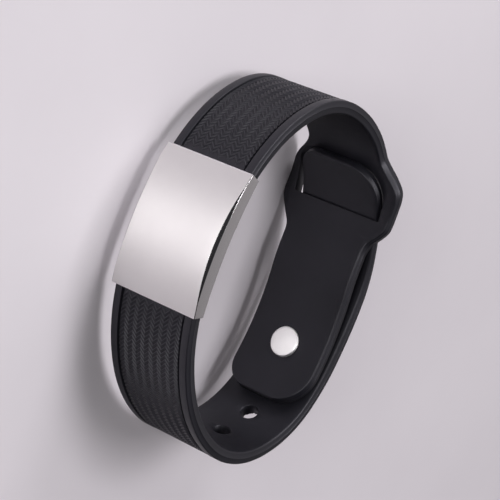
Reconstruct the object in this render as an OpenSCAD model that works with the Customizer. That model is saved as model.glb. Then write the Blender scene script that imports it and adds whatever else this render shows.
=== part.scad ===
// Silicone id wristband: a moulded band that runs through a steel plate, is closed by a stud
// and has its end tucked through a keeper. It lies on its side, with its hollow upright.

/* [Band] */
// Width of the band across the wrist
band_w = 20; // [19:0.25:20.5]
// Thickness of the band
band_t = 2.7; // [2.5:0.05:2.75]
// Width of the smooth rail along each edge of the outer face
rail_w = 1.9; // [1.4:0.1:2.6]
// Width of the groove inside each rail
groove_w = 0.5; // [0.3:0.05:0.8]
// Depth of the groove inside each rail
groove_d = 0.6; // [0.4:0.05:0.8]
// How far the textured panel lies below the rails
panel_drop = 0.15; // [0.1:0.05:0.3]
// Bevel along the edges of the inner face
inner_bevel = 0.35; // [0.2:0.05:0.5]
// Rounding along the edges of the outer face
outer_round = 0.3; // [0.2:0.05:0.6]
// Corner radius of the pin end on its lower side
pin_low_r = 5.5; // [3:0.5:7]
// Corner radius of the pin end on its upper side
pin_high_r = 8; // [5:0.5:9]

/* [Keeper] */
// How far the keeper stands out past the lower edge of the band
flare = 4; // [3.6:0.1:4.2]
// Width of the slot across the band
slot_w = 22.2; // [21.8:0.1:22.4]
// Thickness of the tongue that lies in the slot
tongue_t = 2; // [1.7:0.05:2]
// How far the tongue leans towards its upper side
tongue_lean = 0.5; // [0:0.1:0.5]
// Corner radius of the tongue on its lower side
tongue_low_r = 4; // [3:0.5:6]
// Corner radius of the tongue on its upper side
tongue_high_r = 7.5; // [5:0.5:8]

/* [Holes and stud] */
// Radius of the holes in the tail
hole_r = 1.95; // [1.9:0.05:2.2]
// Distance from one hole to the next
hole_pitch = 8.9; // [8.8:0.05:9]
// Radius of the stud's inner disc
disc_r = 3.3; // [3:0.1:3.8]
// Thickness of the stud's inner disc
disc_t = 0.7; // [0.5:0.1:1]
// Radius of the stud's post
post_r = 1.7; // [1.4:0.05:1.8]
// Radius of the stud's outer head
head_r = 2.9; // [2.6:0.1:3.2]
// Height of the stud's outer head
head_h = 1.2; // [0.8:0.1:1.4]

/* [Plate] */
// Width of the plate across the band
plate_w = 21.4; // [21:0.1:21.8]
// Radius of the plate's arched face
face_r = 45; // [43:0.5:49]
// Height of the face above the band's inner face, at its middle
face_rise = 3.4; // [3.3:0.05:3.6]
// Radius of the arch along which the face's long edges are bevelled
edge_r = 66; // [60:1:80]
// Depth of that bevel at the middle of the plate
edge_d = 0.6; // [0.3:0.05:0.8]
// Radius of the plate's inner side
back_r = 81; // [75:1:90]
// How far the inner side stands in past the band's inner face, at its middle
back_drop = 0.5; // [0.4:0.05:0.8]

/* [Hidden] */
$fn = 96;

// Gap that is left between pieces, and how far a cutter runs past a face
GAP = 0.1;
PAST = 1;

// Longest step between cross sections, and a finer one for tight and shaped stretches
STEP = 2;
FINE_STEP = 0.9;
CORNER_STEPS = 8;

// Bends of the band from its pin end to the tip of its tongue.
// Columns: length along the inner face in mm, turn in degrees, positive towards the wrist
LENGTH = 0;
TURN = 1;
BENDS = [
    [14, 16],
    [12, 12.5],
    [11, -14.9],
    [12, 29.8],
    [13, 40.9],
    [12, 22.4],
    [12, 34.3],
    [12, 25.7],
    [8, 13.9],
    [28, 34.2],
    [18, 27.4],
    [14, 24.8],
    [12, 28.4],
    [12, 32.8],
    [10, 29],
    [10, 15.7],
    [14, 6.5],
    [10, 19.8],
    [8, 7.2],
    [4, 8.1],
    [7.8, 12.9]
];
PLATE_BEND = 9;

// Where the first bend starts, and which way it points
START = [23.52, 20.63];
START_HEADING = 163.8;

// Places along the band, measured from the start of its first bend
PIN_END = -0.35;
STUD_AT = 12;
SLOT_FROM = 43.1;
SLOT_TO = 54.1;
RELIEF_FROM = 60;
FIRST_HOLE = 183.6;
HOLE_COUNT = 6;
STUD_HOLE = 3;
RELIEF_TO = 215;
THIN_FROM = 218;
TONGUE_FROM = 238;

// How the keeper's edges stand out, as shares of the flare.
// Columns: distance along the band, share at the lower edge, share at the upper edge
LOWER = 1;
UPPER = 2;
KEEPER = [
    [34, 0, 0],
    [36, 0.1, 0],
    [38, 0.45, 0.13],
    [40, 0.79, 0.55],
    [41.4, 0.96, 0.8],
    [42.8, 1, 0.88],
    [44.2, 0.96, 0.92],
    [46, 0.89, 0.98],
    [48.5, 0.79, 1.06],
    [50.2, 0.71, 1],
    [52, 0.49, 0.7],
    [54, 0.09, 0.29],
    [55.5, -0.14, 0.05],
    [57, -0.25, -0.02],
    [60, -0.22, -0.04],
    [65, -0.1, -0.02],
    [70, 0, 0]
];
KEEPER_FROM = KEEPER[0][0];
KEEPER_TO = KEEPER[len(KEEPER) - 1][0];

// How the tail leans up or down before the keeper, as shares of the tongue's lean.
// Columns: distance along the band, share
TAIL_LEAN = [[164, 0], [176, -0.4], [188, -0.6], [200, 0], [212, 0.6], [224, 0.9], [238, 1]];

// The slot slopes back with height and its near end narrows, so that the tail slides in
SLOT_SLOPE = 2.1;
SLOT_TAPER = 0.1;
SLOT_STEPS = 12;

// How much tighter the slot's corners are than the tongue's
SLOT_TIGHTER = 0.3;

// The neck that joins the two lengths of the band inside the plate
NECK_LOW = 1.05;
NECK_T = 1.2;
NECK_W = 19.4;
NECK_ROOT = 3;

// Each bend starts at a distance along the band, at a place and with a heading
FAR = 0;
PLACE = 1;
HEADING = 2;

function radius(bend) = BENDS[bend][LENGTH] / (BENDS[bend][TURN] * PI / 180);

function walked(place, r, heading, turn) =
    place + r * [sin(heading + turn) - sin(heading), cos(heading) - cos(heading + turn)];

function knots_from(bend, far, place, heading) =
    let (knot = [far, place, heading], turn = BENDS[bend][TURN])
    bend == len(BENDS)
        ? [knot]
        : concat([knot], knots_from(
            bend + 1,
            far + BENDS[bend][LENGTH],
            walked(place, radius(bend), heading, turn),
            heading + turn
        ));

KNOTS = knots_from(0, 0, START, START_HEADING);
BAND_LEN = KNOTS[len(BENDS)][FAR];
PLATE_FROM = KNOTS[PLATE_BEND][FAR];
PLATE_TO = KNOTS[PLATE_BEND + 1][FAR];
PIN_LENGTH_TO = PLATE_FROM - GAP;
TAIL_LENGTH_FROM = PLATE_TO + GAP;

// Heading and place of the inner face at a distance along the band
function bend_at(far) = max([0, for (i = [1:len(BENDS) - 1]) if (KNOTS[i][FAR] <= far) i]);

function turned(far) =
    let (bend = bend_at(far))
    BENDS[bend][TURN] * (far - KNOTS[bend][FAR]) / BENDS[bend][LENGTH];

function heading_at(far) = KNOTS[bend_at(far)][HEADING] + turned(far);

function place_at(far) =
    let (bend = bend_at(far), knot = KNOTS[bend])
    walked(knot[PLACE], radius(bend), knot[HEADING], turned(far));

function outward(far) = [sin(heading_at(far)), -cos(heading_at(far))];

// A point at a height above the inner face
function above(far, height) = place_at(far) + height * outward(far);

function hole_at(i) = FIRST_HOLE + i * hole_pitch;

// Height of the tail's inner face above the pin end's, along the stud
STUD_HOLE_AT = hole_at(STUD_HOLE);
TAIL_HIGH = (place_at(STUD_HOLE_AT) - place_at(STUD_AT)) * outward(STUD_AT);

// Smooth step from 0 to 1 between two distances, which can run either way
function eased(far, from, to) =
    let (part = min(max((far - from) / (to - from), 0), 1))
    (1 - cos(180 * part)) / 2;

// Smooth curve through the rows of a table, level before its first row and past its last
function slope_of(table, i, column) =
    i == 0 || i == len(table) - 1
        ? 0
        : (table[i + 1][column] - table[i - 1][column]) / (table[i + 1][0] - table[i - 1][0]);

function between(table, i, column, far) =
    let (
        a = table[i],
        b = table[i + 1],
        width = b[0] - a[0],
        part = (far - a[0]) / width,
        rest = 1 - part
    )
    a[column] * rest * rest * (1 + 2 * part) + b[column] * part * part * (1 + 2 * rest)
        + width * part * rest
            * (slope_of(table, i, column) * rest - slope_of(table, i + 1, column) * part);

function smooth(table, far, column = 1) =
    far <= table[0][0]
        ? table[0][column]
        : let (before = [for (i = [0:len(table) - 1]) if (table[i][0] < far) i], i = max(before))
            i == len(table) - 1 ? table[i][column] : between(table, i, column, far);

// How much a rounded corner takes off the side, at a distance from the end
function corner(far, r) = far < r ? r - sqrt(r * r - (r - far) * (r - far)) : 0;

// Lower and upper edge of the band, and its thickness
function lean_at(far) = tongue_lean * smooth(TAIL_LEAN, far);

function low_at(far) =
    lean_at(far) + corner(far - PIN_END, pin_low_r) + corner(BAND_LEN - far, tongue_low_r)
        - flare * smooth(KEEPER, far, LOWER);

function high_at(far) =
    band_w + lean_at(far) - corner(far - PIN_END, pin_high_r)
        - corner(BAND_LEN - far, tongue_high_r) + flare * smooth(KEEPER, far, UPPER);

function thick_at(far) = band_t - (band_t - tongue_t) * eased(far, THIN_FROM, TONGUE_FROM);

// Distances from one place to another in equal steps, without the last one
function spread(from, to, step) =
    let (steps = ceil((to - from) / step))
    [for (i = [0:steps - 1]) from + (to - from) * i / steps];

// Distances into a rounded corner, crowded towards the end of the band
function crowded(r) = [for (i = [0:CORNER_STEPS - 1]) r * (1 - cos(90 * i / CORNER_STEPS))];

function reversed(list) = [for (i = [len(list) - 1:-1:0]) list[i]];

// Corners of the band's cross section at a place, as points in space
ROUND_MIDDLE = 1 - sqrt(0.5);

function half_section(t) = [
    [0, inner_bevel],
    [inner_bevel, 0],
    [t - outer_round, 0],
    [t - outer_round * ROUND_MIDDLE, outer_round * ROUND_MIDDLE],
    [t, outer_round]
];

function section(far) =
    let (half = half_section(thick_at(far)))
    concat(
        [for (p = half) concat(above(far, p.x), low_at(far) + p.y)],
        [for (p = reversed(half)) concat(above(far, p.x), high_at(far) - p.y)]
    );

// A closed skin over cross sections, each of which lists its lower corners with rising height
// and then as many upper corners with falling height
module skin(sections) {
    count = len(sections[0]);
    last = len(sections) - 1;
    polyhedron(
        points = [for (s = sections) for (p = s) p],
        faces = concat(
            [
                for (j = [0:count / 2 - 2])
                    [count - 1 - j, count - 2 - j, j + 1, j]
            ],
            [
                for (j = [0:count / 2 - 2])
                    [for (k = [j, j + 1, count - 2 - j, count - 1 - j]) last * count + k]
            ],
            [
                for (i = [0:last - 1])
                    for (j = [0:count - 1])
                        let (k = (j + 1) % count)
                        [i * count + j, i * count + k, (i + 1) * count + k, (i + 1) * count + j]
            ]
        )
    );
}

module length_of_band(places) {
    skin([for (far = places) section(far)]);
}

// A ribbon that follows the band between two heights above its inner face
module ribbon(places, low, high) {
    polygon(concat(
        [for (far = places) above(far, low)],
        [for (far = reversed(places)) above(far, high)]
    ));
}

// What is cut from the outer face between the rails: a shallow panel and its two grooves.
// Its own steps fall between those of the skin, so that no two edges run together
module relief_cut(from, to) {
    places = [for (far = concat(spread(from, to, STEP), [to])) far + STEP / 3];
    last = len(places) - 1;
    groove_places = concat(
        places[0] + groove_w,
        [for (i = [1:last - 1]) places[i]],
        places[last] - groove_w
    );
    top = band_t + PAST;
    translate([0, 0, rail_w])
        linear_extrude(band_w - 2 * rail_w)
            ribbon(places, band_t - panel_drop, top);
    for (z = [rail_w, band_w - rail_w - groove_w])
        translate([0, 0, z])
            linear_extrude(groove_w)
                ribbon(groove_places, band_t - groove_d, top);
}

// Frame on the inner face: x along the band, y up across it, z outward
module on_band(far, up) {
    translate(place_at(far))
        rotate([90, 0, heading_at(far)])
            translate([0, band_w / 2 + up])
                children();
}

module at_stud() {
    on_band(STUD_AT, lean_at(STUD_HOLE_AT))
        children();
}

// The keeper's slot has the outline of the tongue; part runs from its near end to its far end
function slot_corner(part, height, side) =
    let (
        rest = 1 - part,
        from_far = rest * (SLOT_TO - SLOT_FROM),
        far = SLOT_TO - from_far - SLOT_SLOPE * height,
        half = slot_w / 2 - rest * SLOT_TAPER * height,
        cut = corner(from_far, (side < 0 ? tongue_low_r : tongue_high_r) - SLOT_TIGHTER)
    )
    concat(above(far, height), band_w / 2 + side * (half - cut));

module slot() {
    heights = [-PAST, 0, band_t, band_t + PAST];
    skin([
        for (i = [0:SLOT_STEPS])
            let (part = sin(90 * i / SLOT_STEPS))
            concat(
                [for (height = heights) slot_corner(part, height, -1)],
                [for (height = reversed(heights)) slot_corner(part, height, 1)]
            )
    ]);
}

// The length from the pin end, through the keeper, to the plate
module pin_length() {
    difference() {
        length_of_band(concat(
            [for (far = crowded(pin_high_r)) PIN_END + far],
            spread(PIN_END + pin_high_r, KEEPER_FROM, STEP),
            spread(KEEPER_FROM, KEEPER_TO, FINE_STEP),
            spread(KEEPER_TO, PIN_LENGTH_TO, STEP),
            [PIN_LENGTH_TO]
        ));
        relief_cut(RELIEF_FROM, PIN_LENGTH_TO);
        slot();
        at_stud()
            translate([0, 0, -PAST])
                cylinder(r = post_r + GAP, h = band_t + 2 * PAST);
    }
}

// The length from the plate, through the holes, to the tip of the tongue
module tail_length() {
    difference() {
        length_of_band(concat(
            spread(TAIL_LENGTH_FROM, THIN_FROM, STEP),
            spread(THIN_FROM, BAND_LEN - tongue_high_r, FINE_STEP),
            reversed([for (far = crowded(tongue_high_r)) BAND_LEN - far])
        ));
        relief_cut(TAIL_LENGTH_FROM - STEP, RELIEF_TO);
        for (i = [0:HOLE_COUNT - 1])
            if (i != STUD_HOLE)
                on_band(hole_at(i), lean_at(hole_at(i)))
                    translate([0, 0, -PAST])
                        cylinder(r = hole_r, h = band_t + 2 * PAST);
        at_stud()
            cylinder(r = hole_r, h = TAIL_HIGH + band_t + PAST);
    }
}

module neck() {
    from = PLATE_FROM - NECK_ROOT;
    to = PLATE_TO + NECK_ROOT;
    places = concat(spread(from, to, STEP), [to]);
    translate([0, 0, (band_w - NECK_W) / 2])
        linear_extrude(NECK_W)
            ribbon(places, NECK_LOW, NECK_LOW + NECK_T);
}

// The keeper's lower edge stands on the floor
module on_floor() {
    translate([0, 0, flare])
        children();
}

module band() {
    color([0.1, 0.1, 0.12])
        on_floor() {
            pin_length();
            tail_length();
            neck();
        }
}

// The plate is drawn with x outward through its middle, about the centre of its bend
PLATE_MIDDLE = (PLATE_FROM + PLATE_TO) / 2;
PLATE_R = radius(PLATE_BEND);
PLATE_TURN = BENDS[PLATE_BEND][TURN];

module on_plate() {
    translate(above(PLATE_MIDDLE, -PLATE_R))
        rotate(heading_at(PLATE_MIDDLE) - 90)
            translate([0, 0, band_w / 2])
                children();
}

// A wedge of a ring about the centre of the plate's bend, as wide as the plate's own turn
module plate_wedge(turn, low, high, w) {
    rotate(-turn / 2)
        rotate_extrude(angle = turn)
            translate([PLATE_R + low, -w / 2])
                square([high - low, w]);
}

// The arched face, with a bevel along both long edges
module plate_face() {
    rise = PLATE_R + face_rise;
    translate([rise - face_r, 0])
        cylinder(r = face_r, h = plate_w, center = true);
}

module plate_bevel() {
    half_w = plate_w / 2;
    r = edge_r - edge_d;
    translate([PLATE_R + face_rise - edge_r, 0])
        rotate_extrude()
            polygon([[0, -half_w], [r, -half_w], [r + half_w, 0], [r, half_w], [0, half_w]]);
}

module id_plate() {
    tunnel_turn = PLATE_TURN + PAST;
    color([0.86, 0.85, 0.86])
        on_floor() on_plate()
            difference() {
                intersection() {
                    plate_wedge(PLATE_TURN, -2 * back_drop, 2 * face_rise, plate_w);
                    plate_face();
                    plate_bevel();
                }
                translate([PLATE_R - back_drop - back_r, 0])
                    cylinder(r = back_r, h = plate_w + PAST, center = true);
                plate_wedge(tunnel_turn, NECK_LOW - GAP, NECK_LOW + NECK_T + GAP, NECK_W + 2 * GAP);
            }
}

// The flat disc and head keep clear of the curved faces that they lie on
DISC_CLEAR = 0.2;
HEAD_CLEAR = 0.25;
DISC_BEVEL = 0.25;
HEAD_BEVEL = 0.5;

module stud() {
    disc_low = -disc_t - DISC_CLEAR;
    head_low = TAIL_HIGH + band_t + HEAD_CLEAR;
    head_high = head_low + head_h;
    color([0.9, 0.9, 0.9])
        on_floor() at_stud()
            rotate_extrude()
                polygon([
                    [0, disc_low],
                    [disc_r - DISC_BEVEL, disc_low],
                    [disc_r, disc_low + DISC_BEVEL],
                    [disc_r, -DISC_CLEAR],
                    [post_r, -DISC_CLEAR],
                    [post_r, head_low],
                    [head_r, head_low],
                    [head_r, head_high - HEAD_BEVEL],
                    [head_r - HEAD_BEVEL, head_high],
                    [0, head_high]
                ]);
}

band();
id_plate();
stud();
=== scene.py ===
"""Silicone id wristband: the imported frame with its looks, lights and camera."""

import math

import bmesh
import bpy
import numpy as np
from mathutils import Matrix, Vector


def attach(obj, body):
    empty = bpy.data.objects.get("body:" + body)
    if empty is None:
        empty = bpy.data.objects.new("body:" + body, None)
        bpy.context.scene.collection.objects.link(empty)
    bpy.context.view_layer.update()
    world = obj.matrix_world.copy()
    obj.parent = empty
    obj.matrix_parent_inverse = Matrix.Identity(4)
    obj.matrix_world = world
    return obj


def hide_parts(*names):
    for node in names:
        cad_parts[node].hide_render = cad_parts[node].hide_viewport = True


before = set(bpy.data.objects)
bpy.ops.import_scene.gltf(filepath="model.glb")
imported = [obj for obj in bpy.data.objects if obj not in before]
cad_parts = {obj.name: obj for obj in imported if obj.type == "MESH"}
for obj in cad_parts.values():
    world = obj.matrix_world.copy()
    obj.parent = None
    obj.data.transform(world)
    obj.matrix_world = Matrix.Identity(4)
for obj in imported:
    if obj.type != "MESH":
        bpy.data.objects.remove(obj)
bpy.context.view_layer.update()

MM = 0.001

# Bends of the band from its pin end to the tip of its tongue:
# length along the inner face in mm, and turn in degrees, positive towards the wrist
BENDS = (
    (14, 16),
    (12, 12.5),
    (11, -14.9),
    (12, 29.8),
    (13, 40.9),
    (12, 22.4),
    (12, 34.3),
    (12, 25.7),
    (8, 13.9),
    (28, 34.2),
    (18, 27.4),
    (14, 24.8),
    (12, 28.4),
    (12, 32.8),
    (10, 29),
    (10, 15.7),
    (14, 6.5),
    (10, 19.8),
    (8, 7.2),
    (4, 8.1),
    (7.8, 12.9),
)
PLATE_BEND = 9

# Where the inner face starts, its heading there in degrees,
# and how far the band's lower edge is above the floor
START = (23.52, 20.63)
START_HEADING = 163.8
RISE = 4.0

# Sizes of the band in mm; a pair is for its lower and its upper edge
WIDTH = 20.0
THICK = 2.7
INNER_ROUND = 0.4
OUTER_ROUND = 0.3
RAIL = 1.9
GROOVE = 0.5
GROOVE_DEPTH = 0.6
GROOVE_SOFT = 0.1
GROOVE_CURVE = 0.3
PANEL_DROP = 0.3
FLARE = 4.0
PIN_CORNERS = (5.5, 8.0)
TONGUE_THICK = 2.0
TONGUE_LEAN = 0.5
TONGUE_CORNERS = (4.0, 7.5)
END_ROUND = 0.5

# Rows of points on the inner face, as shares of the way from an edge to the middle
INNER_SHARES = (0.9, 0.6, 0.3, 0.1)

# The mould's seam, a ridge along each side: its height, half its width, how far it stands out
SEAM_AT = 1.45
SEAM_HALF = 0.1
SEAM_RISE = 0.07

# Places along the band in mm from its pin end; the stud goes through the fourth hole
PIN_END = -0.35
STUD_AT = 12.0
RELIEF = (60.0, 216.0)
RELIEF_FADE = 2.5
THIN_FROM = 218.0
TONGUE_FROM = 238.0
FIRST_HOLE = 183.6
HOLE_PITCH = 8.9
HOLE_COUNT = 6
STUD_HOLE = 3
STUD_HOLE_AT = FIRST_HOLE + STUD_HOLE * HOLE_PITCH

# Holes, the stud's post, and the gap between pieces
HOLE_R = 1.95
HOLE_LIP = 0.1
HOLE_STEPS = 48
POST_R = 1.7
GAP = 0.1

# The keeper's slot: its ends at the inner face, half its width, the corners of its two ends,
# and how far both ends go back, and the near end narrows, for each mm of height
SLOT = (43.1, 54.1)
SLOT_HALF = 11.1
SLOT_CORNERS = (3.7, 7.2)
SLOT_NEAR_CORNER = 0.3
SLOT_SLOPE = 2.1
SLOT_TAPER = 0.1
SLOT_LIP = 0.12

# Points of the slot's outline: along each corner, and parts of each side
SLOT_CORNER_POINTS = 11
SLOT_SIDE_PARTS = 8

# How far cutters reach past the faces that they cut
CUT_PAST = 1.5
SLOT_PAST = 1.0

# How the keeper's edges stand out, as shares of the flare:
# distance along the band, share at the lower edge, share at the upper edge
KEEPER = (
    (34, 0, 0),
    (36, 0.1, 0),
    (38, 0.45, 0.13),
    (40, 0.79, 0.55),
    (41.4, 0.96, 0.8),
    (42.8, 1, 0.88),
    (44.2, 0.96, 0.92),
    (46, 0.89, 0.98),
    (48.5, 0.79, 1.06),
    (50.2, 0.71, 1),
    (52, 0.49, 0.7),
    (54, 0.09, 0.29),
    (55.5, -0.14, 0.05),
    (57, -0.25, -0.02),
    (60, -0.22, -0.04),
    (65, -0.1, -0.02),
    (70, 0, 0),
)

# How the tail leans up or down before the keeper: distance, share of the tongue's lean
TAIL_LEAN = ((164, 0), (176, -0.4), (188, -0.6), (200, 0), (212, 0.6), (224, 0.9), (238, 1))

# The neck inside the plate: its two heights above the inner face, half its width,
# how many rings it has, and how far it reaches into the tail
NECK_LOW = 1.05
NECK_HIGH = 2.25
NECK_HALF = 9.7
NECK_RINGS = 24
NECK_PAST = 1

# Ribs of the relief: zigzag lines, each drawn by a few places within one pitch,
# which stop a little before the plate
RIB_PITCH = 0.9
RIB_PLACES = ((0.0, 0.0), (0.2, 0.85), (0.35, 1.0), (0.5, 0.85), (0.7, 0.0))
RIB_HEIGHT = 0.24
RIB_CLEAR = 0.75
ZIGZAGS = 7
ZIGZAG_STEPS = 4
ZIGZAG_SWING = 0.55

# Distances of rings from the band's ends, closer together towards them
END_STEPS = (0, 0.03, 0.08, 0.16, 0.28, 0.45, 0.7, 1.0, 1.5, 2.1, 2.9, 3.8)
PIN_STEPS = END_STEPS + (4.8, 5.8, 6.8, 7.8)
TIP_STEPS = END_STEPS + (5.0, 6.2, 7.5)

# Distances between rings elsewhere, where those before the keeper start,
# and how far rings keep from the ends of the relief
PIN_SPACING = 0.8
KEEPER_SPACING = 0.4
TAIL_SPACING = 0.6
PIN_SPACING_FROM = 8.2
RELIEF_CLEAR = 0.3

# The plate in mm: its width, the radius and rise of its face, the radius of the facets' lower
# lines and their depth, the radius and drop of its back, and the rounding of its two ends
PLATE_W = 21.4
FACE_R = 45.0
FACE_RISE = 3.4
EDGE_R = 66.0
EDGE_DEPTH = 0.6
BACK_R = 81.0
BACK_DROP = 0.5
PLATE_EDGE = 0.2
FACET_MIN = 0.1

# How much each corner of the plate's outline loses; the facet's corners lose no more than a share
BACK_SOFT = 0.15
SIDE_SOFT = 0.07
FACE_SOFT = 0.025
SOFT_SHARE = 0.3
SOFT_STEPS = 3

# Faces whose normal has at least this share straight out of the loop are brushed
BRUSHED_SHARE = 0.995

# Rings along the plate, and the parts of an outline's side that is longer than LONG_SIDE
PLATE_END_STEPS = (0, 0.02, 0.05, 0.1, 0.15, PLATE_EDGE)
PLATE_PARTS = 48
LONG_SIDE = 5
LONG_PARTS = 12

# The stud in mm, and how far disc and head stand off the band
DISC_R = 3.3
DISC_T = 0.7
HEAD_R = 2.9
HEAD_H = 1.2
DISC_CLEAR = 0.2
HEAD_CLEAR = 0.25
STUD_STEPS = 72

# Edges sharper than this, in degrees, aren't shaded smooth
MOULDED_ANGLE = 50
PLATE_ANGLE = 10
STUD_ANGLE = 35

# Points nearer than this, in metres, are one
WELD = 1e-7


def knots():
    """Distance, place and heading where each bend starts, and the band's length."""
    far, heading = 0.0, math.radians(START_HEADING)
    x, y = START
    rows = []
    for length, turn in BENDS:
        turn = math.radians(turn)
        rows.append((far, x, y, heading, length, turn))
        radius = length / turn
        x += radius * (math.sin(heading + turn) - math.sin(heading))
        y += radius * (math.cos(heading) - math.cos(heading + turn))
        heading += turn
        far += length
    return np.array(rows), far


KNOTS, BAND_LENGTH = knots()
PLATE_FROM = KNOTS[PLATE_BEND][0]
PLATE_TO = KNOTS[PLATE_BEND + 1][0]


def path(far):
    """Place on the inner face and heading there, for distances along the band."""
    far = np.asarray(far, float)
    bend = np.clip(np.searchsorted(KNOTS[:, 0], far, side="right") - 1, 0, len(KNOTS) - 1)
    start, x, y, heading, length, turn = np.moveaxis(KNOTS[bend], -1, 0)
    radius = length / turn
    end = heading + turn * (far - start) / length
    return (
        x + radius * (np.sin(end) - np.sin(heading)),
        y + radius * (np.cos(heading) - np.cos(end)),
        end,
    )


def place(far, height, across):
    """Points in metres at heights above the inner face and at places across the band."""
    x, y, heading = path(far)
    points = np.stack(
        np.broadcast_arrays(
            x + height * np.sin(heading), y - height * np.cos(heading), across + RISE
        ),
        axis=-1,
    )
    return points * MM


def directions(heading):
    """Unit vectors along the band and out of the loop."""
    along = Vector((math.cos(heading), math.sin(heading), 0))
    out = Vector((math.sin(heading), -math.cos(heading), 0))
    return along, out


def band_frame(far, above):
    """Matrix with x along the band, y up across it and z outward, above its middle line."""
    x, y, heading = (float(v) for v in path(far))
    along, out = directions(heading)
    up = Vector((0, 0, 1))
    spot = Vector((x, y, WIDTH / 2 + RISE + above)) * MM
    return Matrix.Translation(spot) @ Matrix((along, up, out)).transposed().to_4x4()


def eased(far, start, end):
    """Share from 0 at the start to 1 at the end, level at both."""
    part = np.clip((far - start) / (end - start), 0, 1)
    return (1 - np.cos(np.pi * part)) / 2


def smooth(table, far, column=1):
    """Smooth curve through the rows of a table, level at both of its ends."""
    at = np.array([row[0] for row in table], float)
    value = np.array([row[column] for row in table], float)
    slope = np.zeros(len(table))
    slope[1:-1] = (value[2:] - value[:-2]) / (at[2:] - at[:-2])
    far = np.clip(far, at[0], at[-1])
    i = np.clip(np.searchsorted(at, far, side="right") - 1, 0, len(at) - 2)
    width = at[i + 1] - at[i]
    part = (far - at[i]) / width
    rest = 1 - part
    curve = value[i] * rest**2 * (1 + 2 * part) + value[i + 1] * part**2 * (1 + 2 * rest)
    return curve + width * part * rest * (slope[i] * rest - slope[i + 1] * part)


def lean_at(far):
    """How far the band is shifted up across its width."""
    return TONGUE_LEAN * smooth(TAIL_LEAN, far)


def corner(far, radius):
    """How much a rounded corner takes off, at distances from the end."""
    inside = np.clip(radius - far, 0, radius)
    return radius - np.sqrt(radius**2 - inside**2)


def mesh_object(name, verts, faces, weld=False):
    """A linked object whose faces look outward."""
    mesh = bpy.data.meshes.new(name)
    mesh.from_pydata([tuple(v) for v in verts], [], faces)
    work = bmesh.new()
    work.from_mesh(mesh)
    if weld:
        bmesh.ops.remove_doubles(work, verts=work.verts, dist=WELD)
        bmesh.ops.dissolve_degenerate(work, edges=work.edges, dist=WELD)
    bmesh.ops.recalc_face_normals(work, faces=work.faces)
    work.to_mesh(mesh)
    work.free()
    piece = bpy.data.objects.new(name, mesh)
    bpy.context.scene.collection.objects.link(piece)
    return piece


def shade(mesh, angle):
    """Smooth shading, apart from edges sharper than an angle."""
    mesh.polygons.foreach_set("use_smooth", [True] * len(mesh.polygons))
    mesh.set_sharp_from_angle(angle=math.radians(angle))


def new_piece(name, verts, faces, material, angle, node, slot):
    """A closed mesh piece that stands for a CAD node."""
    piece = mesh_object(name, verts, faces, weld=True)
    piece.data.materials.append(material)
    shade(piece.data, angle)
    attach(piece, "root")
    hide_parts(node)
    return piece


def rings_to_mesh(rings, capped=True):
    """Vertices and faces of a skin over rings of equal counts."""
    count, rows = rings.shape[:2]
    verts = rings.reshape(-1, 3)
    faces = []
    for i in range(count - 1):
        a, b = i * rows, (i + 1) * rows
        for j in range(rows):
            k = (j + 1) % rows
            faces.append((a + j, a + k, b + k, b + j))
    if capped:
        faces.append(tuple(range(rows - 1, -1, -1)))
        faces.append(tuple((count - 1) * rows + j for j in range(rows)))
    return verts, faces


def lathe(profile, matrix, steps):
    """Rings of (height, radius) round the local z axis, in mm."""
    turns = np.linspace(0, 2 * np.pi, steps, endpoint=False)
    rings = []
    for height, radius in profile:
        ring = [
            matrix @ Vector((radius * math.cos(a) * MM, radius * math.sin(a) * MM, height * MM))
            for a in turns
        ]
        rings.append([tuple(p) for p in ring])
    return np.array(rings)


def cut(piece, cutters, operation="DIFFERENCE"):
    """Takes the cutters out of a piece, or joins them to it, and leaves plain mesh data."""
    for cutter in cutters:
        modifier = piece.modifiers.new(cutter.name, "BOOLEAN")
        modifier.operation = operation
        modifier.solver = "EXACT"
        modifier.object = cutter
    bpy.context.view_layer.update()
    depsgraph = bpy.context.evaluated_depsgraph_get()
    mesh = bpy.data.meshes.new_from_object(piece.evaluated_get(depsgraph))
    piece.modifiers.clear()
    piece.data = mesh
    for cutter in cutters:
        bpy.data.objects.remove(cutter)


# Materials: colours are linear, noise scales are in waves per mm, and bump heights in mm.
# The map that turns the steel's highlights is BRUSH_SPAN mm high

BRUSH_MAP = "brush"
BRUSH_SPAN = 30
SILICONE_DARK = (0.0068, 0.0068, 0.0098)
SILICONE_LIGHT = (0.0096, 0.0094, 0.0138)
STEEL_SHADE = 0.97
FLOOR_DARK = (0.68, 0.645, 0.685)
FLOOR_LIGHT = (0.74, 0.705, 0.745)


def principled(name, **values):
    """A material with one Principled shader, and its tree."""
    material = bpy.data.materials.new(name)
    material.use_nodes = True
    tree = material.node_tree
    shader = tree.nodes["Principled BSDF"]
    for key, value in values.items():
        shader.inputs[key.replace("_", " ")].default_value = value
    return material, tree, shader


def noise(tree, scale, detail, rough=0.55, stretch=(1, 1, 1)):
    """Noise in object space."""
    coords = tree.nodes.new("ShaderNodeTexCoord")
    mapping = tree.nodes.new("ShaderNodeMapping")
    mapping.inputs["Scale"].default_value = [scale * s / MM for s in stretch]
    texture = tree.nodes.new("ShaderNodeTexNoise")
    texture.inputs["Scale"].default_value = 1.0
    texture.inputs["Detail"].default_value = detail
    texture.inputs["Roughness"].default_value = rough
    tree.links.new(coords.outputs["Object"], mapping.inputs["Vector"])
    tree.links.new(mapping.outputs["Vector"], texture.inputs["Vector"])
    return texture.outputs["Fac"]


def ramp(tree, source, first, last):
    """A colour ramp over a value, between two stops of (position, colour)."""
    node = tree.nodes.new("ShaderNodeValToRGB")
    for element, (position, colour) in zip(node.color_ramp.elements, (first, last)):
        element.position = position
        element.color = (*colour, 1)
    tree.links.new(source, node.inputs["Fac"])
    return node.outputs["Color"]


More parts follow.
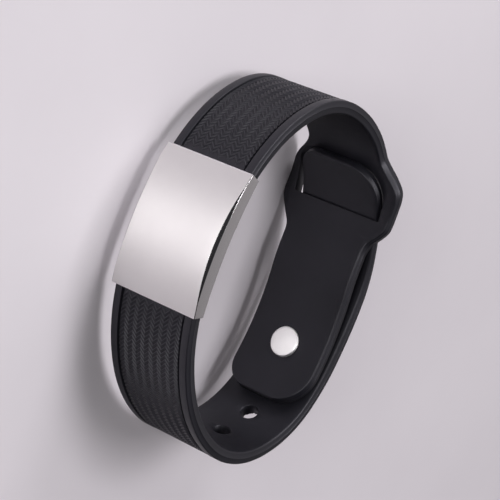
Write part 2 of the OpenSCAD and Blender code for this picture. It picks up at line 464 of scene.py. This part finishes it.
def spread(tree, source, low, high):
    """A value mapped from 0..1 to low..high."""
    node = tree.nodes.new("ShaderNodeMapRange")
    node.inputs["To Min"].default_value = low
    node.inputs["To Max"].default_value = high
    tree.links.new(source, node.inputs["Value"])
    return node.outputs["Result"]


def bump(tree, shader, source, height, strength):
    """Bumps of a height from a value."""
    node = tree.nodes.new("ShaderNodeBump")
    node.inputs["Strength"].default_value = strength
    node.inputs["Distance"].default_value = height * MM
    tree.links.new(source, node.inputs["Height"])
    tree.links.new(node.outputs["Normal"], shader.inputs["Normal"])


def silicone():
    """Matt black silicone with a faint mottle and a fine grain."""
    material, tree, shader = principled(
        "silicone_black", Specular_IOR_Level=0.5, Specular_Tint=(0.93, 0.92, 1, 1)
    )
    mottle = noise(tree, scale=0.12, detail=4)
    colour = ramp(tree, mottle, (0.3, SILICONE_DARK), (0.7, SILICONE_LIGHT))
    tree.links.new(colour, shader.inputs["Base Color"])
    patches = noise(tree, scale=0.5, detail=5)
    tree.links.new(spread(tree, patches, low=0.4, high=0.52), shader.inputs["Roughness"])
    bump(tree, shader, noise(tree, scale=9.0, detail=4), height=0.012, strength=0.5)
    return material


def steel(name, roughness, tint, grain, brushed=0.0):
    """Steel with its own fine grain; a brushed one spreads its highlights across the band."""
    material, tree, shader = principled(name, Metallic=1.0, Anisotropic=brushed)
    cloud = noise(tree, scale=0.15, detail=3)
    shaded = tuple(STEEL_SHADE * c for c in tint)
    tree.links.new(ramp(tree, cloud, (0.3, shaded), (0.7, tint)), shader.inputs["Base Color"])
    fine = noise(tree, scale=1.0, detail=4, rough=0.6, stretch=grain)
    tree.links.new(spread(tree, fine, *roughness), shader.inputs["Roughness"])
    bump(tree, shader, fine, height=0.004, strength=0.12)
    if brushed:
        tangent = tree.nodes.new("ShaderNodeTangent")
        tangent.direction_type = "UV_MAP"
        tangent.uv_map = BRUSH_MAP
        tree.links.new(tangent.outputs["Tangent"], shader.inputs["Tangent"])
    return material


SILICONE = silicone()
BRUSHED = steel(
    "steel_brushed",
    roughness=(0.4, 0.46),
    tint=(0.9, 0.88, 0.875),
    grain=(0.4, 0.4, 22),
    brushed=0.78,
)
POLISHED = steel(
    "steel_polished", roughness=(0.1, 0.16), tint=(0.9, 0.885, 0.895), grain=(0.4, 0.4, 12)
)
TURNED = steel(
    "steel_turned",
    roughness=(0.42, 0.48),
    tint=(0.99, 0.975, 0.98),
    grain=(3, 3, 3),
    brushed=0.8,
)


def brush_map(piece, axis):
    """A map of a steel piece that runs across the band and round an upright axis."""
    mesh = piece.data
    layer = mesh.uv_layers.new(name=BRUSH_MAP)
    for loop in mesh.loops:
        spot = mesh.vertices[loop.vertex_index].co - axis
        turn = math.atan2(spot.x, -spot.y)
        layer.data[loop.index].uv = (0.5 + spot.z / (BRUSH_SPAN * MM), 0.5 + turn)


# The band


def band_stations():
    """Distances along the band for its rings, and how high the relief's ribs stand there."""
    keeper_from = KEEPER[0][0]
    relief_from, relief_to = RELIEF
    plain = [PIN_END + d for d in PIN_STEPS]
    plain += list(np.arange(PIN_SPACING_FROM, keeper_from, PIN_SPACING))
    plain += list(np.arange(keeper_from, relief_from - RELIEF_CLEAR, KEEPER_SPACING))
    plain += [PLATE_FROM - GAP, PLATE_TO + GAP]
    tail_to = BAND_LENGTH - TONGUE_CORNERS[1]
    plain += list(np.arange(relief_to + RELIEF_CLEAR, tail_to, TAIL_SPACING))
    plain += [BAND_LENGTH - d for d in TIP_STEPS]
    stations = [(far, 0.0) for far in plain]
    ribbed = ((relief_from, PLATE_FROM - RIB_CLEAR), (PLATE_TO + RIB_CLEAR, relief_to))
    for start, end in ribbed:
        for first in np.arange(start, end - RIB_PITCH, RIB_PITCH):
            stations += [(first + RIB_PITCH * at, high) for at, high in RIB_PLACES]
    return np.array(sorted(stations)).T


def band_edges(far):
    """Lower and upper edge of the band across it, and its thickness."""
    from_tip = BAND_LENGTH - far
    from_pin_end = far - PIN_END
    lean = lean_at(far)
    low = lean + corner(from_pin_end, PIN_CORNERS[0]) + corner(from_tip, TONGUE_CORNERS[0])
    low = low - FLARE * smooth(KEEPER, far, 1)
    high = lean - corner(from_pin_end, PIN_CORNERS[1]) - corner(from_tip, TONGUE_CORNERS[1])
    high = high + WIDTH + FLARE * smooth(KEEPER, far, 2)
    thick = THICK - (THICK - TONGUE_THICK) * eased(far, THIN_FROM, TONGUE_FROM)
    return low, high, thick


def half_rows(x_low, x_high, relief):
    """Rows of the lower half's outline: (height, distance from the edge, share of the middle)."""
    rows = [(x_low, 0.0, share) for share in INNER_SHARES]
    side = SEAM_RISE
    for angle in np.radians((0, 30, 60, 90)):
        height = x_low + INNER_ROUND * (1 - math.cos(angle))
        rows.append((height, side + (INNER_ROUND - side) * (1 - math.sin(angle)), 0))
    seam = x_low + (x_high - x_low) * SEAM_AT / THICK
    for step, inward in ((-1, side), (0, 0.0), (1, side)):
        rows.append((seam + step * SEAM_HALF, inward, 0))
    for angle in np.radians((0, 22.5, 45, 67.5, 90)):
        height = x_high - OUTER_ROUND * (1 - math.sin(angle))
        rows.append((height, side + (OUTER_ROUND - side) * (1 - math.cos(angle)), 0))
    # the groove's rounded near side, and its bottom
    depth = GROOVE_DEPTH * relief
    curve = GROOVE_CURVE * GROOVE_SOFT
    rows.append((x_high, RAIL - GROOVE_SOFT, 0))
    rows.append((x_high - curve * relief, RAIL - curve, 0))
    rows.append((x_high - GROOVE_SOFT * relief, RAIL, 0))
    rows.append((x_high - depth, RAIL + GROOVE_SOFT, 0))
    rows.append((x_high - depth, RAIL + GROOVE - GROOVE_SOFT, 0))
    return rows


def reach(inward, share, low, high):
    """Distance of an outline's row from the band's edge."""
    if share:
        return INNER_ROUND + share * ((high - low) / 2 - INNER_ROUND)
    return inward


def band_rings():
    """The band's rings, and their distances, heights and places across."""
    far, rib = band_stations()
    low, high, thick = band_edges(far)
    ends = corner(np.minimum(far - PIN_END, BAND_LENGTH - far), END_ROUND)
    x_low = ends
    x_high = thick - ends
    relief = eased(far, RELIEF[0], RELIEF[0] + RELIEF_FADE)
    relief = relief * eased(far, RELIEF[1], RELIEF[1] - RELIEF_FADE)
    half = half_rows(x_low, x_high, relief)
    rows = [(height, low + reach(inward, share, low, high), 0.0) for height, inward, share in half]
    panel_low = low + RAIL + GROOVE
    panel_high = high - RAIL - GROOVE
    panel_top = x_high - (PANEL_DROP - RIB_HEIGHT * rib) * relief
    for part in np.linspace(0, 1, ZIGZAGS * ZIGZAG_STEPS + 1):
        wave = abs((part * ZIGZAGS) % 1 * 2 - 1) - 0.5
        across = panel_low + (panel_high - panel_low) * part
        rows.append((panel_top, across, 2 * ZIGZAG_SWING * wave * relief))
    for height, inward, share in reversed(half):
        rows.append((height, high - reach(inward, share, low, high), 0.0))
    height, across, shift = (
        np.stack([np.broadcast_to(row[i], far.shape) for row in rows], 1) for i in range(3)
    )
    before = (far < PLATE_FROM)[:, None]
    along = far[:, None] + shift
    along = np.where(before, np.minimum(along, PLATE_FROM - GAP), np.maximum(along, PLATE_TO + GAP))
    return place(along, height, across), far, height, across


def neck_rings(row_height, row_across):
    """The neck's rings: the band's outline pressed into the neck's own, reaching into the tail."""
    end = PLATE_TO + GAP
    far = np.append(np.linspace(PLATE_FROM - GAP, end, NECK_RINGS), end + NECK_PAST)
    height = np.clip(row_height, NECK_LOW, NECK_HIGH)[None, :]
    across = np.clip(row_across, WIDTH / 2 - NECK_HALF, WIDTH / 2 + NECK_HALF)[None, :]
    return place(far[:, None], height, across)


def hole_cutter(name, matrix, low, high, radius):
    """A round hole with softened lips, between two heights above the inner face."""
    profile = [
        (low - CUT_PAST, radius + HOLE_LIP),
        (low - 0.02, radius + HOLE_LIP),
        (low + 0.03, radius + 0.4 * HOLE_LIP),
        (low + HOLE_LIP, radius),
        (high - HOLE_LIP, radius),
        (high - 0.03, radius + 0.4 * HOLE_LIP),
        (high + 0.02, radius + HOLE_LIP),
        (high + CUT_PAST, radius + HOLE_LIP),
    ]
    return mesh_object(name, *rings_to_mesh(lathe(profile, matrix, HOLE_STEPS)))


def slot_outline(height, grow):
    """Outline of the keeper's slot at a height: (distance along the band, place across it)."""
    near, far_end = (end - SLOT_SLOPE * height for end in SLOT)
    half = SLOT_HALF - SLOT_TAPER * height
    low_r, high_r = SLOT_CORNERS
    near_r = SLOT_NEAR_CORNER
    centres = (
        (far_end - high_r, SLOT_HALF - high_r, high_r, 0),
        (near + near_r, half - near_r, near_r, 90),
        (near + near_r, near_r - half, near_r, 180),
        (far_end - low_r, low_r - SLOT_HALF, low_r, 270),
    )
    corners = []
    for far, across, radius, first in centres:
        angles = np.radians(np.linspace(first, first + 90, SLOT_CORNER_POINTS))
        size = radius + grow
        corners.append([(far + size * math.cos(a), across + size * math.sin(a)) for a in angles])
    points = []
    for i, points_here in enumerate(corners):
        last, after = points_here[-1], corners[(i + 1) % len(corners)][0]
        points += points_here
        for part in np.linspace(0, 1, SLOT_SIDE_PARTS + 1)[1:-1]:
            points.append(tuple((1 - part) * p + part * q for p, q in zip(last, after)))
    return np.array(points)


def slot_cutter():
    """The keeper's slot, whose two ends slope back with height, with softened lips."""
    levels = (
        (-CUT_PAST, SLOT_LIP),
        (-0.03, SLOT_LIP),
        (0.03, 0.45 * SLOT_LIP),
        (SLOT_LIP, 0),
        (THICK / 2, 0),
        (THICK - SLOT_LIP, 0),
        (THICK - 0.03, 0.45 * SLOT_LIP),
        (THICK + 0.03, SLOT_LIP),
        (THICK + SLOT_PAST, SLOT_LIP),
    )
    rings = []
    for height, grow in levels:
        far, across = slot_outline(height, grow).T
        rings.append(place(far, height, WIDTH / 2 + across))
    return mesh_object("slot_cutter", *rings_to_mesh(np.array(rings)))


def tail_height():
    """Height of the tail's inner face above the pin end's, along the stud."""
    x0, y0, heading = (float(v) for v in path(STUD_AT))
    x1, y1, _ = (float(v) for v in path(STUD_HOLE_AT))
    return (x1 - x0) * math.sin(heading) - (y1 - y0) * math.cos(heading)


def stud_frame():
    """Matrix of the stud, in line with the tail's hole."""
    return band_frame(STUD_AT, float(lean_at(STUD_HOLE_AT)))


def build_band():
    """Pin end with keeper and neck, and the tail with its holes, joined to one moulding."""
    rings, far, height, across = band_rings()
    before = far < PLATE_FROM
    neck = neck_rings(height[before][-1], across[before][-1])
    pin = rings_to_mesh(np.concatenate([rings[before], neck]))
    band = new_piece("band_moulding", *pin, SILICONE, MOULDED_ANGLE, "band", "band")
    tail = mesh_object("tail", *rings_to_mesh(rings[~before]), weld=True)
    tail.data.materials.append(SILICONE)
    shade(tail.data, MOULDED_ANGLE)
    post_cutter = hole_cutter("post_cutter", stud_frame(), 0, THICK, POST_R + GAP)
    cut(band, [slot_cutter(), post_cutter])
    cutters = []
    for i in range(HOLE_COUNT):
        far = FIRST_HOLE + i * HOLE_PITCH
        matrix, low = band_frame(far, float(lean_at(far))), 0.0
        if i == STUD_HOLE:
            matrix, low = stud_frame(), tail_height()
        thick = float(band_edges(np.array(far))[2])
        cutters.append(hole_cutter(f"hole_cutter_{i}", matrix, low, low + thick, HOLE_R))
    cut(tail, cutters)
    cut(band, [tail], "UNION")
    shade(band.data, MOULDED_ANGLE)


# The plate


def ray_to_circle(angle, centre, radius):
    """Distance from the origin along a ray to a circle whose centre is on the x axis."""
    return centre * np.cos(angle) + np.sqrt(radius**2 - (centre * np.sin(angle)) ** 2)


def softened(points, cuts):
    """A closed outline whose corners are short curves; cuts gives how much each one loses."""
    out = []
    count = len(points)
    for i in range(count):
        before, here, after = points[i - 1], points[i], points[(i + 1) % count]
        to_before = (before - here) / np.linalg.norm(before - here)
        to_after = (after - here) / np.linalg.norm(after - here)
        start = here + to_before * cuts[i]
        end = here + to_after * cuts[i]
        for k in range(SOFT_STEPS + 1):
            t = k / SOFT_STEPS
            out.append((1 - t) ** 2 * start + 2 * t * (1 - t) * here + t * t * end)
    return out


def plate_angles(turn, radius):
    """Angles of the plate's rings round its centre, closer together at its ends."""
    near_end = np.array(PLATE_END_STEPS) / radius
    inner = np.linspace(-turn / 2, turn / 2, PLATE_PARTS + 1)[1:-1]
    angles = np.concatenate([-turn / 2 + near_end, inner, turn / 2 - near_end[::-1]])
    return np.unique(np.round(angles, 9))


def plate_outline(back, face, edge, half):
    """Outline of the plate at one angle: (distance from the centre, place across the band)."""
    facet = max(face - edge, FACET_MIN)
    corners = [
        (back, -half),
        (face - facet, -half),
        (face, facet - half),
        (face, half - facet),
        (face - facet, half),
        (back, half),
    ]
    face_soft = min(FACE_SOFT, SOFT_SHARE * facet)
    side_soft = min(SIDE_SOFT, SOFT_SHARE * facet)
    cuts = (BACK_SOFT, side_soft, face_soft, face_soft, side_soft, BACK_SOFT)
    outline = softened([np.array(c) for c in corners], cuts)
    # the face and the back are divided across, for even shading
    ring = []
    for point, after in zip(outline, outline[1:] + outline[:1]):
        ring.append(point)
        if np.linalg.norm(after - point) > LONG_SIDE:
            parts = np.linspace(0, 1, LONG_PARTS + 1)[1:-1]
            ring += [point + (after - point) * part for part in parts]
    return np.array(ring)


def upright_ring(centre, outward, outline):
    """Points in metres of an outline in the upright plane through the centre."""
    spots = [centre + outward * float(r) + Vector((0, 0, float(z))) for r, z in outline]
    return [tuple(p * MM) for p in spots]


def build_plate():
    """The sleeve: a skin over its outlines, then back through the tunnel for the neck."""
    turn = math.radians(BENDS[PLATE_BEND][1])
    radius = BENDS[PLATE_BEND][0] / turn
    x, y, heading = (float(v) for v in path((PLATE_FROM + PLATE_TO) / 2))
    along, out = directions(heading)
    centre = Vector((x, y, WIDTH / 2 + RISE)) - radius * out
    angles = plate_angles(turn, radius)
    inset = corner((turn / 2 - np.abs(angles)) * radius, PLATE_EDGE)
    face = ray_to_circle(angles, radius + FACE_RISE - FACE_R, FACE_R) - inset
    edge = ray_to_circle(angles, radius + FACE_RISE - EDGE_R, EDGE_R - EDGE_DEPTH) - inset
    back = ray_to_circle(angles, radius - BACK_DROP - BACK_R, BACK_R) + inset
    low, high = radius + NECK_LOW - GAP, radius + NECK_HIGH + GAP
    width = NECK_HALF + GAP
    outer_rings, tunnel_rings = [], []
    for i, angle in enumerate(angles):
        ring = plate_outline(back[i], face[i], edge[i], PLATE_W / 2 - inset[i])
        tunnel = np.stack([np.clip(ring[:, 0], low, high), np.clip(ring[:, 1], -width, width)], 1)
        outward = out * math.cos(angle) + along * math.sin(angle)
        outer_rings.append(upright_ring(centre, outward, ring))
        tunnel_rings.append(upright_ring(centre, outward, tunnel))
    rings = np.array(outer_rings + tunnel_rings[::-1])
    verts, faces = rings_to_mesh(rings, capped=False)
    rows = rings.shape[1]
    last = (len(rings) - 1) * rows
    for j in range(rows):
        k = (j + 1) % rows
        faces.append((last + j, last + k, k, j))
    plate = new_piece("plate_arched", verts, faces, POLISHED, PLATE_ANGLE, "id_plate", "plate")
    axis = centre * MM
    brush_map(plate, axis)
    plate.data.materials.append(BRUSHED)
    for polygon in plate.data.polygons:
        away = polygon.center - axis
        away.z = 0
        polygon.material_index = int(polygon.normal.dot(away.normalized()) > BRUSHED_SHARE)


# The stud


def build_stud():
    """Disc, post and head, turned from one profile."""
    low = -DISC_T - DISC_CLEAR
    head = tail_height() + THICK + HEAD_CLEAR
    top = head + HEAD_H
    profile = [
        (low, 0.02),
        (low, DISC_R - 0.3),
        (low + 0.02, DISC_R - 0.17),
        (low + 0.09, DISC_R - 0.06),
        (low + 0.2, DISC_R),
        (-DISC_CLEAR - 0.08, DISC_R),
        (-DISC_CLEAR, DISC_R - 0.08),
        (-DISC_CLEAR, POST_R),
        (head, POST_R),
        (head, HEAD_R - 0.08),
        (head + 0.08, HEAD_R),
        (top - 0.55, HEAD_R),
        (top - 0.3, HEAD_R - 0.12),
        (top - 0.1, HEAD_R - 0.45),
        (top - 0.02, HEAD_R - 0.9),
        (top, HEAD_R - 1.6),
        (top, 0.02),
    ]
    mesh = rings_to_mesh(lathe(profile, stud_frame(), STUD_STEPS))
    stud = new_piece("stud_turned", *mesh, TURNED, STUD_ANGLE, "stud", "stud")
    brush_map(stud, Vector((0, 0, WIDTH / 2 + RISE)) * MM)


# Floor, lights and camera

FLOOR_HALF = 3.0

# Name, place and target, width and height, all in metres, power in watts, colour
LIGHTS = (
    ("key", (-0.3, 0.03, 0.84), (0, 0, 0), (0.42, 0.42), 4.8, (1, 0.98, 0.995)),
    ("front", (0.035, -0.86, 0.39), (0, 0, 0.014), (0.4, 0.38), 3.8, (1, 0.985, 0.98)),
    ("edge", (-0.7, -0.12, 0.3), (0, 0, 0.02), (0.2, 0.2), 1.8, (1, 0.985, 1)),
)

# The world's bright direction, and its dim and bright colours
WORLD_TOWARDS = (-0.75, 0.6, 0.1)
WORLD_DIM = (0.015, 0.0145, 0.016)
WORLD_BRIGHT = (0.46, 0.436, 0.445)

# Degrees, mm and pixels
CAMERA_ELEVATION = 33.608
CAMERA_ROLL = 113.099
CAMERA_DISTANCE = 373.84
LOOK_AT = (-3.35, -3.6, 14.0)
FOCAL_PIXELS = 1856.23
FRAME_PIXELS = 500


def build_floor():
    """A plain pale floor with a faint mottle."""
    side = FLOOR_HALF
    corners = [(-side, -side, 0), (side, -side, 0), (side, side, 0), (-side, side, 0)]
    mesh = bpy.data.meshes.new("floor")
    mesh.from_pydata(corners, [], [(0, 1, 2, 3)])
    floor = bpy.data.objects.new("floor", mesh)
    bpy.context.scene.collection.objects.link(floor)
    material, tree, shader = principled("floor_pale", Roughness=0.55)
    mottle = noise(tree, scale=0.006, detail=5)
    colour = ramp(tree, mottle, (0.35, FLOOR_DARK), (0.65, FLOOR_LIGHT))
    tree.links.new(colour, shader.inputs["Base Color"])
    mesh.materials.append(material)


def area_light(name, spot, target, size, power, colour):
    """A rectangular light that shines from a spot at a target."""
    light = bpy.data.lights.new(name, "AREA")
    light.shape = "RECTANGLE"
    light.size, light.size_y = size
    light.energy = power
    light.color = colour
    holder = bpy.data.objects.new(name, light)
    holder.location = spot
    holder.rotation_mode = "QUATERNION"
    holder.rotation_quaternion = (Vector(target) - Vector(spot)).to_track_quat("-Z", "Y")
    bpy.context.scene.collection.objects.link(holder)


def studio_world():
    """A dim world, brighter behind the object and towards its plate's upper end."""
    world = bpy.data.worlds.new("studio")
    world.use_nodes = True
    tree = world.node_tree
    coords = tree.nodes.new("ShaderNodeTexCoord")
    towards = tree.nodes.new("ShaderNodeVectorMath")
    towards.operation = "DOT_PRODUCT"
    towards.inputs[1].default_value = WORLD_TOWARDS
    tree.links.new(coords.outputs["Generated"], towards.inputs[0])
    share = spread(tree, towards.outputs["Value"], low=0.5, high=1)
    colour = ramp(tree, share, (0.5, WORLD_DIM), (0.98, WORLD_BRIGHT))
    tree.links.new(colour, tree.nodes["Background"].inputs["Color"])
    bpy.context.scene.world = world


def build_lights():
    """The lights, the world, and colours shown without a film curve."""
    for light in LIGHTS:
        area_light(*light)
    studio_world()
    bpy.context.scene.view_settings.view_transform = "Standard"


def build_camera():
    """The camera at the photograph's angle, turned about its own line of sight."""
    elevation = math.radians(CAMERA_ELEVATION)
    roll = math.radians(CAMERA_ROLL)
    forward = Vector((0, math.cos(elevation), -math.sin(elevation)))
    level = Vector((1, 0, 0))
    rise = Vector((0, math.sin(elevation), math.cos(elevation)))
    right = math.cos(roll) * level + math.sin(roll) * rise
    up = -math.sin(roll) * level + math.cos(roll) * rise
    data = bpy.data.cameras.new("camera")
    data.sensor_width = 36
    data.lens = FOCAL_PIXELS * data.sensor_width / FRAME_PIXELS
    data.clip_start = 0.01
    data.clip_end = 20
    camera = bpy.data.objects.new("camera", data)
    spot = (Vector(LOOK_AT) - CAMERA_DISTANCE * forward) * MM
    turned = Matrix((right, up, -forward)).transposed().to_4x4()
    camera.matrix_world = Matrix.Translation(spot) @ turned
    bpy.context.scene.collection.objects.link(camera)
    bpy.context.scene.camera = camera


build_camera()
build_band()
build_plate()
build_stud()
build_floor()
build_lights()
